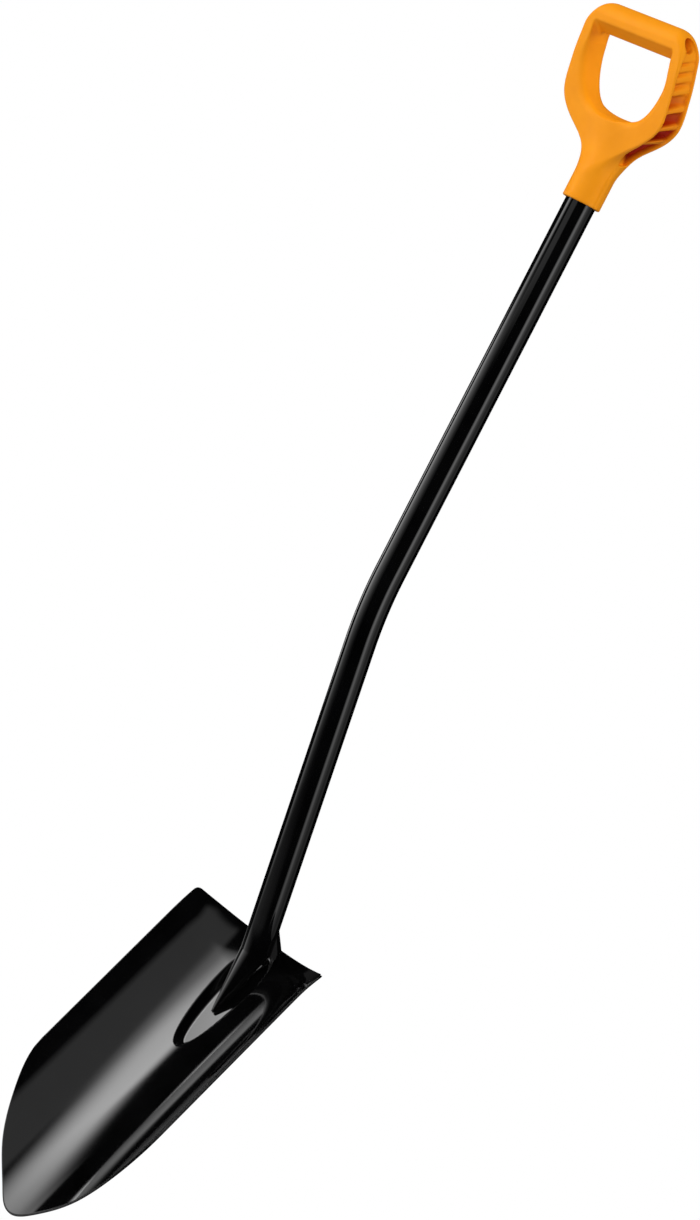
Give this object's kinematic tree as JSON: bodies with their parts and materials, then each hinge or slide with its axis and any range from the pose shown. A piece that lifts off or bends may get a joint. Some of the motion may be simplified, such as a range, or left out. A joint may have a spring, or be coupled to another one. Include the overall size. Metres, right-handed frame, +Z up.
{
  "type": "spade",
  "caption": "Pointed spade with a trough-shaped pressed steel blade, a gently bent tubular shaft and a moulded D-handle, for digging and lifting soil.",
  "frame": {"origin": "hanging point, in the middle of the underside of the grip", "axes": "+Z up along the upper shaft, -Y out of the hollow front of the blade, X across the blade, X = 0 the mirror plane"},
  "size_m": [0.183, 0.153, 1.1773],
  "materials": {
    "black_paint": "glossy black powder coat",
    "orange_plastic": "satin moulded orange plastic",
    "screw_steel": "zinc plated"
  },
  "bodies": {
    "root": {"blade": "black_paint", "shaft_tube": "black_paint", "front_weld": "black_paint", "rear_weld": "black_paint", "d_handle": "orange_plastic", "handle_screw": "screw_steel"}
  },
  "joints": []
}
